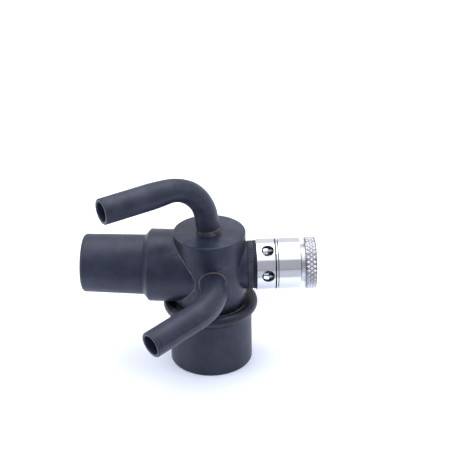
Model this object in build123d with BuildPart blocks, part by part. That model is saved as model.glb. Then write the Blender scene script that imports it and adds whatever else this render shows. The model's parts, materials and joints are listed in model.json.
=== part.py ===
"""A moulded rubber breathing-circuit manifold with an adjustable relief valve.

A closed upright chamber stands on a push-on socket. A tapered hose cone leaves it on one side, a
sprung relief valve on the other, and two narrow bent gas tubes leave the cap and the front wall.

Frame: millimetres, +Z up. The origin is the centre of the socket's open mouth, +X runs out along the
valve's axis and the front gas tube leaves towards -Y.
"""

from build123d import *
import os
from math import cos, pi, radians, sin, tan

os.makedirs("parts", exist_ok=True)

# ---------------------------------------------------------------- driving dimensions
CEMENT_GAP = 0.02  # radial gap left for the cement between bonded round pieces
THREAD_GAP = 0.05  # radial running clearance of the adjusting screw
SLIDE_GAP = 0.3  # least gap between pieces that pass each other without touching

CHAMBER_R = 13.7
CHAMBER_WALL = 3.2
CHAMBER_FOOT = 16.0  # height of the chamber's lower end, inside the socket
CAP_PLATE = 2.0
CAP_SPIGOT = 3.0
CAP_EDGE = 0.35
CAP_CLEAR = 1.6  # height of the cap's top above the branch sleeve

SOCKET_GRIP = 2.05  # wall of the socket where it holds the chamber
SOCKET_WALL = 4.55  # wall of the socket round its bore, which takes a 22 mm breathing cone
SOCKET_HOLD = 5.0  # how far the socket reaches up round the chamber
SOCKET_EDGE = 0.6

COLLAR_OVERHANG = 2.35  # how far the rolled rim stands out from the socket
COLLAR_RISE = 5.4  # full height of the rolled rim above the socket
COLLAR_EDGE_HEIGHT = 3.4  # height of its widest point above the socket
COLLAR_INNER_RISE = 4.1  # height of its top where it meets the chamber

HOSE_SINK = 1.15  # how far the sleeve dips into the collar's crest
HOSE_SET_BACK = 0.8  # how far the branch's axis passes behind the chamber's
HOSE_HEADING = 172.6  # degrees from +X, seen from above
SLEEVE_R = 13.85
SLEEVE_REACH = 9.0  # from the chamber's side to the sleeve's shoulder
SLEEVE_SHOULDER = 2.0
SLEEVE_ROUND = 1.0
CONE_GRIP = 10.7  # length of the cone held inside the sleeve and its shoulder
CONE_BIG_R = 11.45
CONE_SMALL_R = 11.1
CONE_LENGTH = 23.8
CONE_WALL = 3.45  # at the small end, round a bore that takes a 15 mm breathing cone
CONE_ROUND = 1.4
BRANCH_BORE_R = 8.6

TUBE_WALL = 1.27
TUBE_RUN_R = 4.97
TUBE_RIM_ROUND = 0.5

UPPER_SET_BACK = 0.7  # how far the tube's foot stands behind the cap's centre
UPPER_LEAN = Vector(-3.45, 0.13, 20.45)  # from the tube's foot to the bend's corner
UPPER_REACH = Vector(-35.7, -18.2, -1.75)  # from that corner to the tube's end
UPPER_BEND = 15.2
UPPER_ROOT_R = 4.56
UPPER_BEND_R = 4.4
UPPER_COLLAR_WIDTH = 0.45
UPPER_COLLAR_RISE = 1.6

FRONT_SIDE = 0.6  # how far the tube's root stands towards the valve
FRONT_RISE = 0.3  # height of the front tube's axis above the hose branch's
FRONT_CORNER_OUT = 14.8  # the corner's distance from the chamber's wall
FRONT_CORNER_DROP = 0.2
FRONT_REACH = Vector(-23.4, -17.6, -4.9)
FRONT_BEND = 18.5
FRONT_ROOT_R = 4.6
FRONT_BEND_R = 5.0
FRONT_PATCH_WIDTH = 0.5
FRONT_PATCH_RISE = 0.3

PORT_RISE = 0.65  # height of the valve's axis above the hose branch's
PORT_STAND = 0.25  # how far the port's face stands out from the chamber's side
INTAKE = 0.9  # how far pieces that pass through the chamber's wall stand into it

VALVE_R = 9.85  # the valve's radii follow from this one and the walls below
VALVE_WALL = 1.8
BODY_LENGTH = 7.1
BODY_FLOOR = 1.4
BODY_EDGE = 0.15
VENT_COUNT = 6
VENT_R = 2.4
VENT_STATION = 4.3  # from the body's inner end
LOCK_RING_LENGTH = 1.25
LOCK_RING_EDGE = 0.3
BONNET_LENGTH = 8.55
BONNET_LAND = 3.1  # threaded length at the bonnet's mouth
BONNET_SPIGOT_WALL = 0.8
BONNET_SPIGOT_REACH = 0.5  # how far the bonnet's spigot enters the body
BONNET_EDGE = 0.4

SEAT_MARGIN = 1.3  # from the valve's bore to the seat
SEAT_RECESS = 0.6
SEAT_WIDTH = 1.8
SEAT_STAND = 0.6  # height of the seat's lip above the body's floor
SEAT_LIP_WIDTH = 0.4
DISC_MARGIN = 1.1  # from the valve's bore to the disc
DISC_THICK = 0.45
FACING_MARGIN = 0.4
FACING_THICK = 0.25
HUB_LENGTH = 2.0
HUB_WALL = 0.5
STEM_R = 0.9
STEM_LENGTH = 16.1

SPIGOT_WALL = 1.63
INSERT_WALL = 0.95
PORT_WALL = 1.6
BAND_WALL = 1.63
BAND_LENGTH = 2.55
BAND_EDGE = 0.2
WASHER_MARGIN = 0.6  # from the body's outside to the washer's
WASHER_THICK = 0.9

SCREW_IN = 1.0  # travel from the drawn setting to fully closed
DISC_LIFT = 0.8
STOP_RING_LEDGE = 0.55  # how far the stop ring stands out from the screw
STOP_RING_SEAT = 0.55  # how far the ring's groove is cut into the screw
STOP_RING_LENGTH = 0.9
SCREW_WALL = 1.25
SCREW_HEAD = 2.3  # solid length behind the spring cup
SCREW_LENGTH = 9.3  # from its inner end to the knob
SCREW_TANG_STEP = 1.85
SCREW_TANG = 2.9
NECK_SHOWN = 1.5  # gap between bonnet and knob at the drawn setting

CUP_WALL = 0.55
CUP_FLOOR = 1.2
THRUST_GAP = 0.05

SPRING_INSET = 0.6  # from the hub's bore to the middle of the wire
WIRE_R = 0.3
SPRING_TURNS = 7

KNOB_STAND = 0.07  # how far the knob stands out from the valve's outside
KNOB_LENGTH = 4.3
KNOB_EDGE = 0.6

# ---------------------------------------------------------------- heights and radii that follow
SOCKET_R = CHAMBER_R + SOCKET_GRIP
SOCKET_BORE_R = SOCKET_R - SOCKET_WALL
SOCKET_TOP = CHAMBER_FOOT + SOCKET_HOLD
COLLAR_R = SOCKET_R + COLLAR_OVERHANG
CHAMBER_BORE_R = CHAMBER_R - CHAMBER_WALL

HOSE_HEIGHT = SOCKET_TOP + COLLAR_RISE - HOSE_SINK + SLEEVE_R
CHAMBER_TOP = HOSE_HEIGHT + SLEEVE_R + CAP_CLEAR
FRONT_HEIGHT = HOSE_HEIGHT + FRONT_RISE
PORT_HEIGHT = HOSE_HEIGHT + PORT_RISE

SLEEVE_TO = CHAMBER_R + SLEEVE_REACH
SHOULDER_TO = SLEEVE_TO + SLEEVE_SHOULDER
CONE_ROOT = SHOULDER_TO - CONE_GRIP
CONE_END = SHOULDER_TO + CONE_LENGTH
CONE_BORE_R = CONE_SMALL_R - CONE_WALL

TUBE_BORE_R = TUBE_RUN_R - TUBE_WALL
UPPER_COLLAR_R = UPPER_ROOT_R + UPPER_COLLAR_WIDTH
FRONT_PATCH_R = FRONT_ROOT_R + FRONT_PATCH_WIDTH
FRONT_CLEAR_R = FRONT_BEND_R + 0.1

VALVE_BORE_R = VALVE_R - VALVE_WALL
SEAT_R = VALVE_BORE_R - SEAT_MARGIN
BODY_SPIGOT_BORE_R = SEAT_R - SEAT_WIDTH
SPIGOT_R = BODY_SPIGOT_BORE_R + SPIGOT_WALL
INSERT_R = SPIGOT_R + CEMENT_GAP + INSERT_WALL
PORT_R = INSERT_R + CEMENT_GAP + PORT_WALL
BAND_R = INSERT_R + CEMENT_GAP + BAND_WALL
WASHER_R = VALVE_R - WASHER_MARGIN
BONNET_SPIGOT_R = VALVE_BORE_R + BONNET_SPIGOT_WALL
STOP_RING_R = VALVE_BORE_R - SLIDE_GAP
SCREW_R = STOP_RING_R - STOP_RING_LEDGE
STOP_GROOVE_R = SCREW_R - STOP_RING_SEAT
SCREW_BORE_R = SCREW_R - SCREW_WALL
SCREW_TANG_R = SCREW_R - SCREW_TANG_STEP
CUP_R = SCREW_BORE_R - SLIDE_GAP
HUB_R = CUP_R - CUP_WALL - SLIDE_GAP - 0.05
HUB_BORE_R = HUB_R - HUB_WALL
SPRING_R = HUB_BORE_R - SPRING_INSET
STEM_HOLE_R = STEM_R + SLIDE_GAP
DISC_R = VALVE_BORE_R - DISC_MARGIN
FACING_R = DISC_R - FACING_MARGIN
KNOB_R = VALVE_R + KNOB_STAND

# ---------------------------------------------------------------- planes and stations
# Stations along the valve's and the hose's axes are counted from the chamber's axis.
CHAMBER_PLANE = Plane.XZ  # drawn as (radius, height)

VALVE_AXIS = Axis((0, 0, PORT_HEIGHT), (1, 0, 0))
VALVE_PLANE = Plane(origin=(0, 0, PORT_HEIGHT), x_dir=(1, 0, 0), z_dir=(0, -1, 0))

HOSE_WAY = Vector(cos(radians(HOSE_HEADING)), sin(radians(HOSE_HEADING)), 0)
HOSE_START = Vector(0, HOSE_SET_BACK, HOSE_HEIGHT)
HOSE_AXIS = Axis(HOSE_START, HOSE_WAY)
HOSE_PLANE = Plane(origin=HOSE_START, x_dir=HOSE_WAY, z_dir=HOSE_WAY.cross(Vector(0, 0, 1)))

INSERT_ROOT = CHAMBER_BORE_R - INTAKE
BAND_FROM = CHAMBER_R + PORT_STAND
WASHER_FROM = BAND_FROM + BAND_LENGTH
BODY_FROM = WASHER_FROM + WASHER_THICK
FLOOR_TOP = BODY_FROM + BODY_FLOOR
BODY_TO = BODY_FROM + BODY_LENGTH
BONNET_FROM = BODY_TO + LOCK_RING_LENGTH
BONNET_TO = BONNET_FROM + BONNET_LENGTH
LAND_FROM = BONNET_TO - BONNET_LAND
SPIGOT_FROM = BODY_TO - BONNET_SPIGOT_REACH

SEAT_LIP = FLOOR_TOP + SEAT_STAND
FACING_TOP = SEAT_LIP + FACING_THICK
DISC_TOP = FACING_TOP + DISC_THICK
HUB_TOP = DISC_TOP + HUB_LENGTH

KNOB_FROM = BONNET_TO + NECK_SHOWN
SCREW_FROM = KNOB_FROM - SCREW_LENGTH
CUP_BACK = KNOB_FROM - SCREW_HEAD - THRUST_GAP
CUP_MOUTH = DISC_TOP + DISC_LIFT + SCREW_IN + SLIDE_GAP
CUP_SEAT = CUP_BACK - CUP_FLOOR
TANG_TO = KNOB_FROM + SCREW_TANG
STEM_TIP = FACING_TOP + STEM_LENGTH
STEM_WELL = STEM_TIP + DISC_LIFT + SCREW_IN + SLIDE_GAP


# ---------------------------------------------------------------- shared shapes
def profile(plane, *corners):
    """A closed face with straight sides, drawn through these corners of a plane."""
    with BuildSketch(plane) as face:
        with BuildLine():
            Polyline(*corners, close=True)
        make_face()
    return face.sketch


def along(start, way, length, radius):
    """A round bar from a point, kept apart from the piece that uses it."""
    bar = Cylinder(radius, length, align=(Align.CENTER, Align.CENTER, Align.MIN), mode=Mode.PRIVATE)
    return Plane(origin=start, z_dir=way) * bar


def chamber_outside():
    """The chamber's outer cylinder, for the pieces that saddle onto it."""
    return along((0, 0, 0), (0, 0, 1), CHAMBER_TOP, CHAMBER_R)


def swollen_bar(root, corner, end, bend, root_r, bend_r, run_r):
    """A solid round bar along two straight runs and the arc that joins them.

    Its radius goes from root_r to bend_r along the first run, stays through the arc, and swells to
    run_r in the first fifth of the second run.
    """
    entry = (corner - root).normalized()
    leave = (end - corner).normalized()
    turn = entry.get_angle(leave)
    setback = bend * tan(radians(turn) / 2)
    arc_start = corner - entry * setback
    arc_end = corner + leave * setback
    hinge_way = entry.cross(leave).normalized()
    hinge = arc_start + hinge_way.cross(entry).normalized() * bend
    first = (arc_start - root).length
    second = (end - arc_end).length
    swell = second / 5
    seat = (Align.CENTER, Align.CENTER, Align.MIN)
    with BuildPart() as bar:
        with Locations(Plane(origin=root, z_dir=entry)):
            Cone(root_r, bend_r, first, align=seat)
        with BuildSketch(Plane(origin=arc_start, z_dir=entry)) as section:
            Circle(bend_r)
        revolve(section.sketch, axis=Axis(hinge, hinge_way), revolution_arc=turn)
        with Locations(Plane(origin=arc_end, z_dir=leave)):
            Cone(bend_r, run_r, swell, align=seat)
        with Locations(Plane(origin=arc_end + leave * swell, z_dir=leave)):
            Cylinder(run_r, second - swell, align=seat)
    return bar.part


def even_bar(root, corner, end, bend, radius):
    """The same path as swollen_bar with one radius, a little longer at both ends."""
    entry = (corner - root).normalized()
    leave = (end - corner).normalized()
    turn = entry.get_angle(leave)
    setback = bend * tan(radians(turn) / 2)
    arc_start = corner - entry * setback
    arc_end = corner + leave * setback
    hinge_way = entry.cross(leave).normalized()
    hinge = arc_start + hinge_way.cross(entry).normalized() * bend
    first = (arc_start - root).length
    second = (end - arc_end).length
    seat = (Align.CENTER, Align.CENTER, Align.MIN)
    with BuildPart() as bar:
        with Locations(Plane(origin=root - entry, z_dir=entry)):
            Cylinder(radius, first + 1, align=seat)
        with BuildSketch(Plane(origin=arc_start, z_dir=entry)) as section:
            Circle(radius)
        revolve(section.sketch, axis=Axis(hinge, hinge_way), revolution_arc=turn)
        with Locations(Plane(origin=arc_end, z_dir=leave)):
            Cylinder(radius, second + 1, align=seat)
    return bar.part


# ---------------------------------------------------------------- gas tube paths
UPPER_FOOT = Vector(0, UPPER_SET_BACK, CHAMBER_TOP)
UPPER_CORNER = UPPER_FOOT + UPPER_LEAN
UPPER_END = UPPER_CORNER + UPPER_REACH
UPPER_ENTRY = UPPER_LEAN.normalized()
UPPER_ROOT = UPPER_FOOT - UPPER_ENTRY * (CAP_PLATE + CAP_SPIGOT + INTAKE)

FRONT_START = Vector(FRONT_SIDE, 0, FRONT_HEIGHT)
FRONT_CORNER = Vector(FRONT_SIDE, -CHAMBER_R - FRONT_CORNER_OUT, FRONT_HEIGHT - FRONT_CORNER_DROP)
FRONT_END = FRONT_CORNER + FRONT_REACH
FRONT_ENTRY = (FRONT_CORNER - FRONT_START).normalized()
FRONT_ROOT = FRONT_START + FRONT_ENTRY * (CHAMBER_BORE_R - INTAKE)

UPPER_BAR = swollen_bar(
    UPPER_ROOT, UPPER_CORNER, UPPER_END, UPPER_BEND, UPPER_ROOT_R, UPPER_BEND_R, TUBE_RUN_R
)
FRONT_BAR = swollen_bar(
    FRONT_ROOT, FRONT_CORNER, FRONT_END, FRONT_BEND, FRONT_ROOT_R, FRONT_BEND_R, TUBE_RUN_R
)

# ---------------------------------------------------------------- chamber and its base
with BuildPart() as main_chamber:
    revolve(
        profile(
            CHAMBER_PLANE,
            (CHAMBER_BORE_R, CHAMBER_FOOT),
            (CHAMBER_R, CHAMBER_FOOT),
            (CHAMBER_R, CHAMBER_TOP - CAP_PLATE),
            (CHAMBER_BORE_R, CHAMBER_TOP - CAP_PLATE),
        ),
        axis=Axis.Z,
    )
    add(along(HOSE_START, HOSE_WAY, 2 * CHAMBER_R, BRANCH_BORE_R), mode=Mode.SUBTRACT)
    add(along((0, 0, PORT_HEIGHT), (1, 0, 0), 2 * CHAMBER_R, INSERT_R + CEMENT_GAP), mode=Mode.SUBTRACT)
    add(along(FRONT_START, FRONT_ENTRY, CHAMBER_R, FRONT_ROOT_R), mode=Mode.SUBTRACT)
    add(FRONT_BAR, mode=Mode.SUBTRACT)

with BuildPart() as top_cap:
    revolve(
        profile(
            CHAMBER_PLANE,
            (0, CHAMBER_TOP - CAP_PLATE - CAP_SPIGOT),
            (CHAMBER_BORE_R - CEMENT_GAP, CHAMBER_TOP - CAP_PLATE - CAP_SPIGOT),
            (CHAMBER_BORE_R - CEMENT_GAP, CHAMBER_TOP - CAP_PLATE),
            (CHAMBER_R, CHAMBER_TOP - CAP_PLATE),
            (CHAMBER_R, CHAMBER_TOP),
            (0, CHAMBER_TOP),
        ),
        axis=Axis.Z,
    )
    fillet(top_cap.faces().sort_by(Axis.Z)[-1].edges(), CAP_EDGE)
    add(UPPER_BAR, mode=Mode.SUBTRACT)
    add(along(UPPER_ROOT - UPPER_ENTRY, UPPER_ENTRY, 2, UPPER_ROOT_R), mode=Mode.SUBTRACT)

with BuildPart() as base_socket:
    revolve(
        profile(
            CHAMBER_PLANE,
            (SOCKET_BORE_R, 0),
            (SOCKET_R, 0),
            (SOCKET_R, SOCKET_TOP),
            (CHAMBER_R + CEMENT_GAP, SOCKET_TOP),
            (CHAMBER_R + CEMENT_GAP, CHAMBER_FOOT),
            (SOCKET_BORE_R, CHAMBER_FOOT),
        ),
        axis=Axis.Z,
    )
    mouth_edges = base_socket.faces().sort_by(Axis.Z)[0].edges().sort_by(SortBy.RADIUS)
    fillet(mouth_edges[-1], min(SOCKET_EDGE, (SOCKET_R - SOCKET_BORE_R) / 3))

with BuildPart() as base_collar:
    with BuildSketch(CHAMBER_PLANE):
        with BuildLine():
            collar_inner = CHAMBER_R + CEMENT_GAP
            collar_mid = (SOCKET_R + COLLAR_R) / 2
            low = (SOCKET_R, SOCKET_TOP)
            heel = (collar_mid + 0.3, SOCKET_TOP + COLLAR_EDGE_HEIGHT * 0.45)
            widest = (COLLAR_R, SOCKET_TOP + COLLAR_EDGE_HEIGHT)
            crest = (collar_mid - 0.5, SOCKET_TOP + COLLAR_RISE)
            Polyline(
                crest,
                (collar_inner, SOCKET_TOP + COLLAR_INNER_RISE),
                (collar_inner, SOCKET_TOP),
                low,
                heel,
            )
            ThreePointArc(heel, widest, crest)
        make_face()
    revolve(axis=Axis.Z)
    add(along(HOSE_START, HOSE_WAY, CONE_END, SLEEVE_R + CEMENT_GAP), mode=Mode.SUBTRACT)

# ---------------------------------------------------------------- hose branch
with BuildPart() as hose_sleeve:
    revolve(
        profile(
            HOSE_PLANE,
            (0, BRANCH_BORE_R),
            (0, SLEEVE_R),
            (SLEEVE_TO, SLEEVE_R),
            (SHOULDER_TO, CONE_BIG_R + CEMENT_GAP),
            (CONE_ROOT, CONE_BIG_R + CEMENT_GAP),
            (CONE_ROOT, BRANCH_BORE_R),
        ),
        axis=HOSE_AXIS,
    )
    shoulder = hose_sleeve.edges().filter_by(GeomType.CIRCLE).group_by(HOSE_AXIS)[-2]
    fillet(shoulder.sort_by(SortBy.RADIUS)[-1], SLEEVE_ROUND)
    add(chamber_outside(), mode=Mode.SUBTRACT)
    add(along(FRONT_START, FRONT_ENTRY, 2 * SLEEVE_R, FRONT_CLEAR_R), mode=Mode.SUBTRACT)

with BuildPart() as hose_cone:
    revolve(
        profile(
            HOSE_PLANE,
            (CONE_ROOT, CONE_BORE_R),
            (CONE_ROOT, CONE_BIG_R),
            (SHOULDER_TO, CONE_BIG_R),
            (CONE_END, CONE_SMALL_R),
            (CONE_END, CONE_BORE_R),
        ),
        axis=HOSE_AXIS,
    )
    end_edges = hose_cone.faces().sort_by(HOSE_AXIS)[-1].edges().sort_by(SortBy.RADIUS)
    fillet(end_edges[-1], min(CONE_ROUND, (CONE_SMALL_R - CONE_BORE_R) / 2))

# ---------------------------------------------------------------- gas tubes
tube_round = min(TUBE_RIM_ROUND, (TUBE_RUN_R - TUBE_BORE_R) / 3)

with BuildPart() as upper_gas_tube:
    add(UPPER_BAR)
    add(even_bar(UPPER_ROOT, UPPER_CORNER, UPPER_END, UPPER_BEND, TUBE_BORE_R), mode=Mode.SUBTRACT)
    fillet(upper_gas_tube.faces().sort_by_distance(UPPER_END)[0].edges(), tube_round)

with BuildPart() as upper_tube_collar:
    with Locations(Plane(origin=UPPER_FOOT - UPPER_ENTRY, z_dir=UPPER_ENTRY)):
        Cone(
            UPPER_COLLAR_R,
            UPPER_ROOT_R + UPPER_COLLAR_WIDTH / 3,
            UPPER_COLLAR_RISE + 1,
            align=(Align.CENTER, Align.CENTER, Align.MIN),
        )
    add(chamber_outside(), mode=Mode.SUBTRACT)
    add(UPPER_BAR, mode=Mode.SUBTRACT)

with BuildPart() as front_gas_tube:
    add(FRONT_BAR)
    add(even_bar(FRONT_ROOT, FRONT_CORNER, FRONT_END, FRONT_BEND, TUBE_BORE_R), mode=Mode.SUBTRACT)
    fillet(front_gas_tube.faces().sort_by_distance(FRONT_END)[0].edges(), tube_round)

with BuildPart() as front_tube_patch:
    add(along(FRONT_START, FRONT_ENTRY, 2 * CHAMBER_R, FRONT_PATCH_R))
    add(
        along((0, 0, 0), (0, 0, 1), CHAMBER_TOP, CHAMBER_R + FRONT_PATCH_RISE),
        mode=Mode.INTERSECT,
    )
    add(chamber_outside(), mode=Mode.SUBTRACT)
    add(FRONT_BAR, mode=Mode.SUBTRACT)
    add(along(HOSE_START, HOSE_WAY, CONE_END, SLEEVE_R + SLIDE_GAP), mode=Mode.SUBTRACT)

# ---------------------------------------------------------------- valve port
with BuildPart() as valve_port:
    revolve(
        profile(
            VALVE_PLANE,
            (0, INSERT_R + CEMENT_GAP),
            (0, PORT_R),
            (BAND_FROM, PORT_R),
            (BAND_FROM, INSERT_R + CEMENT_GAP),
        ),
        axis=VALVE_AXIS,
    )
    add(chamber_outside(), mode=Mode.SUBTRACT)

with BuildPart() as port_insert:
    revolve(
        profile(
            VALVE_PLANE,
            (INSERT_ROOT, SPIGOT_R + CEMENT_GAP),
            (INSERT_ROOT, INSERT_R),
            (WASHER_FROM, INSERT_R),
            (WASHER_FROM, SPIGOT_R + CEMENT_GAP),
        ),
        axis=VALVE_AXIS,
    )

with BuildPart() as port_band:
    revolve(
        profile(
            VALVE_PLANE,
            (BAND_FROM, INSERT_R + CEMENT_GAP),
            (BAND_FROM, BAND_R),
            (WASHER_FROM, BAND_R),
            (WASHER_FROM, INSERT_R + CEMENT_GAP),
        ),
        axis=VALVE_AXIS,
    )
    chamfer(port_band.edges().filter_by(GeomType.CIRCLE).group_by(SortBy.RADIUS)[-1], BAND_EDGE)

with BuildPart() as sealing_washer:
    revolve(
        profile(
            VALVE_PLANE,
            (WASHER_FROM, SPIGOT_R + CEMENT_GAP),
            (WASHER_FROM, WASHER_R),
            (BODY_FROM, WASHER_R),
            (BODY_FROM, SPIGOT_R + CEMENT_GAP),
        ),
        axis=VALVE_AXIS,
    )

# ---------------------------------------------------------------- fixed valve pieces
with BuildPart() as valve_body:
    revolve(
        profile(
            VALVE_PLANE,
            (INSERT_ROOT, BODY_SPIGOT_BORE_R),
            (INSERT_ROOT, SPIGOT_R),
            (BODY_FROM, SPIGOT_R),
            (BODY_FROM, VALVE_R),
            (BODY_TO, VALVE_R),
            (BODY_TO, BONNET_SPIGOT_R + CEMENT_GAP),
            (SPIGOT_FROM, BONNET_SPIGOT_R + CEMENT_GAP),
            (SPIGOT_FROM, VALVE_BORE_R),
            (FLOOR_TOP, VALVE_BORE_R),
            (FLOOR_TOP, SEAT_R + CEMENT_GAP),
            (FLOOR_TOP - SEAT_RECESS, SEAT_R + CEMENT_GAP),
            (FLOOR_TOP - SEAT_RECESS, BODY_SPIGOT_BORE_R),
        ),
        axis=VALVE_AXIS,
    )
    chamfer(valve_body.edges().filter_by(GeomType.CIRCLE).group_by(SortBy.RADIUS)[-1], BODY_EDGE)
    for vent in range(VENT_COUNT):
        vent_angle = radians(360 / VENT_COUNT * vent)
        vent_way = Vector(0, -cos(vent_angle), sin(vent_angle))
        vent_start = Vector(BODY_FROM + VENT_STATION, 0, PORT_HEIGHT) + vent_way * SEAT_R
        add(along(vent_start, vent_way, VALVE_R, VENT_R), mode=Mode.SUBTRACT)

with BuildPart() as valve_seat:
    revolve(
        profile(
            VALVE_PLANE,
            (FLOOR_TOP - SEAT_RECESS, BODY_SPIGOT_BORE_R),
            (FLOOR_TOP - SEAT_RECESS, SEAT_R),
            (FLOOR_TOP, SEAT_R),
            (SEAT_LIP, SEAT_R - SEAT_WIDTH / 2 + SEAT_LIP_WIDTH / 2),
            (SEAT_LIP, SEAT_R - SEAT_WIDTH / 2 - SEAT_LIP_WIDTH / 2),
            (FLOOR_TOP, BODY_SPIGOT_BORE_R),
        ),
        axis=VALVE_AXIS,
    )

with BuildPart() as lock_ring:
    revolve(
        profile(
            VALVE_PLANE,
            (BODY_TO, BONNET_SPIGOT_R + CEMENT_GAP),
            (BODY_TO, VALVE_R),
            (BONNET_FROM, VALVE_R),
            (BONNET_FROM, BONNET_SPIGOT_R + CEMENT_GAP),
        ),
        axis=VALVE_AXIS,
    )
    chamfer(lock_ring.edges().filter_by(GeomType.CIRCLE).group_by(SortBy.RADIUS)[-1], LOCK_RING_EDGE)

with BuildPart() as bonnet:
    revolve(
        profile(
            VALVE_PLANE,
            (SPIGOT_FROM, VALVE_BORE_R),
            (SPIGOT_FROM, BONNET_SPIGOT_R),
            (BONNET_FROM, BONNET_SPIGOT_R),
            (BONNET_FROM, VALVE_R),
            (BONNET_TO, VALVE_R),
            (BONNET_TO, SCREW_R + THREAD_GAP),
            (LAND_FROM, SCREW_R + THREAD_GAP),
            (LAND_FROM, VALVE_BORE_R),
        ),
        axis=VALVE_AXIS,
    )
    mouth = bonnet.faces().sort_by(VALVE_AXIS)[-1].edges().sort_by(SortBy.RADIUS)[-1]
    chamfer(mouth, BONNET_EDGE)

# ---------------------------------------------------------------- sprung disc
with BuildPart() as disc_facing:
    revolve(
        profile(
            VALVE_PLANE,
            (SEAT_LIP, 0),
            (SEAT_LIP, FACING_R),
            (FACING_TOP, FACING_R),
            (FACING_TOP, 0),
        ),
        axis=VALVE_AXIS,
    )

with BuildPart() as valve_disc:
    revolve(
        profile(
            VALVE_PLANE,
            (FACING_TOP, STEM_R),
            (FACING_TOP, DISC_R),
            (DISC_TOP, DISC_R),
            (DISC_TOP, HUB_R),
            (HUB_TOP, HUB_R),
            (HUB_TOP, HUB_BORE_R),
            (DISC_TOP, HUB_BORE_R),
            (DISC_TOP, STEM_R),
        ),
        axis=VALVE_AXIS,
    )

with BuildPart() as disc_stem:
    revolve(
        profile(
            VALVE_PLANE,
            (FACING_TOP, 0),
            (FACING_TOP, STEM_R),
            (STEM_TIP, STEM_R),
            (STEM_TIP, 0),
        ),
        axis=VALVE_AXIS,
    )
    chamfer(disc_stem.faces().sort_by(VALVE_AXIS)[-1].edges(), STEM_R / 3)

# ---------------------------------------------------------------- spring and spring cup
with BuildPart() as valve_spring:
    coil_height = CUP_SEAT - DISC_TOP - 2 * WIRE_R
    coil_start = Vector(DISC_TOP + WIRE_R, 0, PORT_HEIGHT)
    with BuildLine() as coil:
        Helix(coil_height / SPRING_TURNS, coil_height, SPRING_R, center=coil_start, direction=(1, 0, 0))
    with BuildSketch(Plane(origin=coil.line @ 0, z_dir=coil.line % 0)):
        Circle(WIRE_R)
    sweep(path=coil.line, is_frenet=True)

with BuildPart() as spring_cup:
    revolve(
        profile(
            VALVE_PLANE,
            (CUP_MOUTH, CUP_R - CUP_WALL),
            (CUP_MOUTH, CUP_R),
            (CUP_BACK, CUP_R),
            (CUP_BACK, STEM_HOLE_R),
            (CUP_SEAT, STEM_HOLE_R),
            (CUP_SEAT, CUP_R - CUP_WALL),
        ),
        axis=VALVE_AXIS,
    )

# ---------------------------------------------------------------- screw and knob
with BuildPart() as adjusting_screw:
    revolve(
        profile(
            VALVE_PLANE,
            (SCREW_FROM, SCREW_BORE_R),
            (SCREW_FROM, STOP_GROOVE_R),
            (SCREW_FROM + STOP_RING_LENGTH, STOP_GROOVE_R),
            (SCREW_FROM + STOP_RING_LENGTH, SCREW_R),
            (KNOB_FROM, SCREW_R),
            (KNOB_FROM, SCREW_TANG_R),
            (TANG_TO, SCREW_TANG_R),
            (TANG_TO, 0),
            (STEM_WELL, 0),
            (STEM_WELL, STEM_HOLE_R),
            (KNOB_FROM - SCREW_HEAD, STEM_HOLE_R),
            (KNOB_FROM - SCREW_HEAD, SCREW_BORE_R),
        ),
        axis=VALVE_AXIS,
    )

with BuildPart() as screw_stop_ring:
    revolve(
        profile(
            VALVE_PLANE,
            (SCREW_FROM, STOP_GROOVE_R + CEMENT_GAP),
            (SCREW_FROM, STOP_RING_R),
            (SCREW_FROM + STOP_RING_LENGTH, STOP_RING_R),
            (SCREW_FROM + STOP_RING_LENGTH, STOP_GROOVE_R + CEMENT_GAP),
        ),
        axis=VALVE_AXIS,
    )

with BuildPart() as control_knob:
    revolve(
        profile(
            VALVE_PLANE,
            (KNOB_FROM, SCREW_TANG_R + CEMENT_GAP),
            (KNOB_FROM, KNOB_R),
            (KNOB_FROM + KNOB_LENGTH, KNOB_R),
            (KNOB_FROM + KNOB_LENGTH, 0),
            (TANG_TO, 0),
            (TANG_TO, SCREW_TANG_R + CEMENT_GAP),
        ),
        axis=VALVE_AXIS,
    )
    rim = control_knob.edges().filter_by(GeomType.CIRCLE).group_by(SortBy.RADIUS)[-1]
    chamfer(rim, KNOB_EDGE)

# ---------------------------------------------------------------- files
PIECES = {
    "main_chamber": main_chamber,
    "top_cap": top_cap,
    "base_socket": base_socket,
    "base_collar": base_collar,
    "hose_sleeve": hose_sleeve,
    "hose_cone": hose_cone,
    "upper_gas_tube": upper_gas_tube,
    "upper_tube_collar": upper_tube_collar,
    "front_gas_tube": front_gas_tube,
    "front_tube_patch": front_tube_patch,
    "valve_port": valve_port,
    "port_insert": port_insert,
    "port_band": port_band,
    "sealing_washer": sealing_washer,
    "valve_body": valve_body,
    "valve_seat": valve_seat,
    "lock_ring": lock_ring,
    "bonnet": bonnet,
    "disc_facing": disc_facing,
    "valve_disc": valve_disc,
    "disc_stem": disc_stem,
    "valve_spring": valve_spring,
    "spring_cup": spring_cup,
    "adjusting_screw": adjusting_screw,
    "screw_stop_ring": screw_stop_ring,
    "control_knob": control_knob,
}

for node, piece in PIECES.items():
    piece.part.label = node
    export_step(piece.part, f"parts/{node}.step")
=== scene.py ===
"""Looks for a rubber breathing-circuit manifold with a sprung, screw-adjusted relief valve.

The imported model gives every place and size. This script dresses its pieces, makes the gas tubes, the
knurled pieces, the coil spring and the cement seams, and sets a studio round them. Lengths are metres.
"""

import json
import logging
import math
from dataclasses import dataclass, field
from enum import Enum

import bmesh
import bpy
from mathutils import Matrix, Vector


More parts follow.
